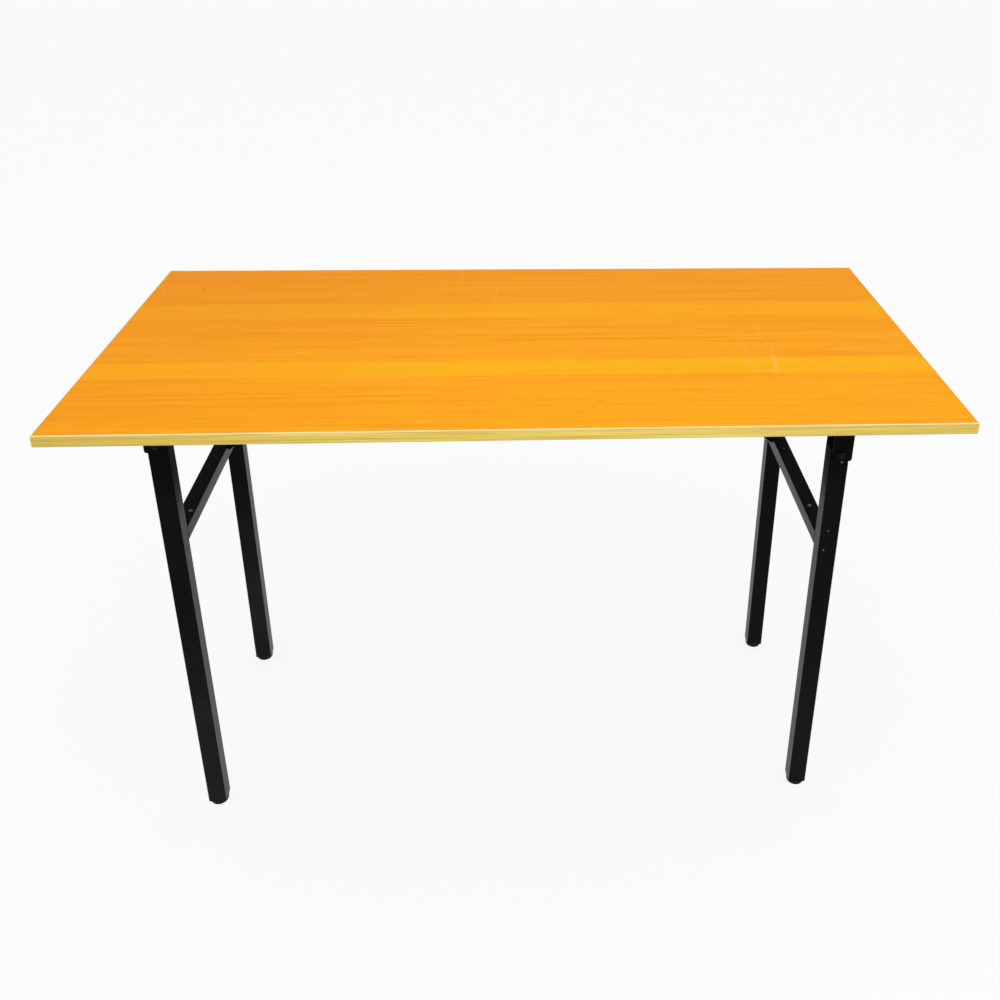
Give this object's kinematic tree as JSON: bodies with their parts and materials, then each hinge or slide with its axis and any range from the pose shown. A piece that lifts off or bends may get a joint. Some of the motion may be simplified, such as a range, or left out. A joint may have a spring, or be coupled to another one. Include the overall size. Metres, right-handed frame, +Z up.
{
  "type": "folding desk",
  "caption": "Folding desk with a wood-look laminated top on two black square-tube leg frames that fold flat under it, each held open by a stay running in a slotted guide.",
  "frame": {"origin": "on the floor, under the middle of the top", "axes": "+X along the desk to the sitter's right, +Y to the back edge, +Z up"},
  "size_m": [1.2, 0.6, 0.75],
  "materials": {
    "top_laminate": "orange-brown printed wood-grain laminate, satin, grain along the desk",
    "edge_band": "pale yellow beech edging with fine lengthwise streaks and a cream upper arris",
    "board": "raw pressed chipboard",
    "backer": "dark brown backing paper, matt",
    "black_steel": "semi-gloss black powder coat",
    "zinc_steel": "bright zinc plate",
    "black_zinc": "black zinc plate",
    "black_plastic": "moulded black plastic"
  },
  "bodies": {
    "top": {"board_core": "board", "top_laminate": "top_laminate", "underside_laminate": "backer", "front_edge_band": "edge_band", "rear_edge_band": "edge_band", "left_edge_band": "edge_band", "right_edge_band": "edge_band", "bracket_screws": "zinc_steel", "guide_screws": "zinc_steel", "left_front_hinge_bracket": "black_steel", "left_front_guide_plate": "zinc_steel", "left_rear_hinge_bracket": "black_steel", "left_rear_guide_plate": "zinc_steel", "left_pivot_bolts": "black_zinc", "left_pivot_washers": "black_zinc", "left_pivot_nuts": "black_zinc", "right_front_hinge_bracket": "black_steel", "right_front_guide_plate": "zinc_steel", "right_rear_hinge_bracket": "black_steel", "right_rear_guide_plate": "zinc_steel", "right_pivot_bolts": "black_zinc", "right_pivot_washers": "black_zinc", "right_pivot_nuts": "black_zinc"},
    "left_frame": {"left_front_leg": "black_steel", "left_rear_leg": "black_steel", "left_foot_caps": "black_plastic", "left_pivot_sleeves": "zinc_steel", "left_crossbar": "black_steel", "left_crossbar_tongues": "black_steel", "left_crossbar_screws": "black_zinc", "left_stay_lugs": "black_steel", "left_lug_pin": "black_zinc"},
    "left_stay": {"left_stay_bar": "black_steel", "left_guide_pin": "zinc_steel", "left_guide_pin_clip": "zinc_steel"},
    "right_frame": {"right_front_leg": "black_steel", "right_rear_leg": "black_steel", "right_foot_caps": "black_plastic", "right_pivot_sleeves": "zinc_steel", "right_crossbar": "black_steel", "right_crossbar_tongues": "black_steel", "right_crossbar_screws": "black_zinc", "right_stay_lugs": "black_steel", "right_lug_pin": "black_zinc"},
    "right_stay": {"right_stay_bar": "black_steel", "right_guide_pin": "zinc_steel", "right_guide_pin_clip": "zinc_steel"}
  },
  "joints": [
    {"name": "left_fold", "type": "hinge", "parent": "top", "child": "left_frame", "pos_m": [-0.494, 0.0095, 0.67], "axis": [0, -1, 0], "range_deg": [0, 90]},
    {"name": "right_fold", "type": "hinge", "parent": "top", "child": "right_frame", "pos_m": [0.462, 0.0095, 0.64], "axis": [0, 1, 0], "range_deg": [0, 90]},
    {"name": "left_stay_swing", "type": "hinge", "parent": "left_frame", "child": "left_stay", "pos_m": [-0.469, 0.0995, 0.528], "axis": [0, 1, 0], "range_deg": [0, 141.01]},
    {"name": "right_stay_swing", "type": "hinge", "parent": "right_frame", "child": "right_stay", "pos_m": [0.437, 0.1495, 0.498], "axis": [0, -1, 0], "range_deg": [0, 141.01]}
  ],
  "couplings": [
    {"joint": "left_stay_swing", "follows": "left_fold", "ratio": 1.5667},
    {"joint": "right_stay_swing", "follows": "right_fold", "ratio": 1.5667}
  ]
}
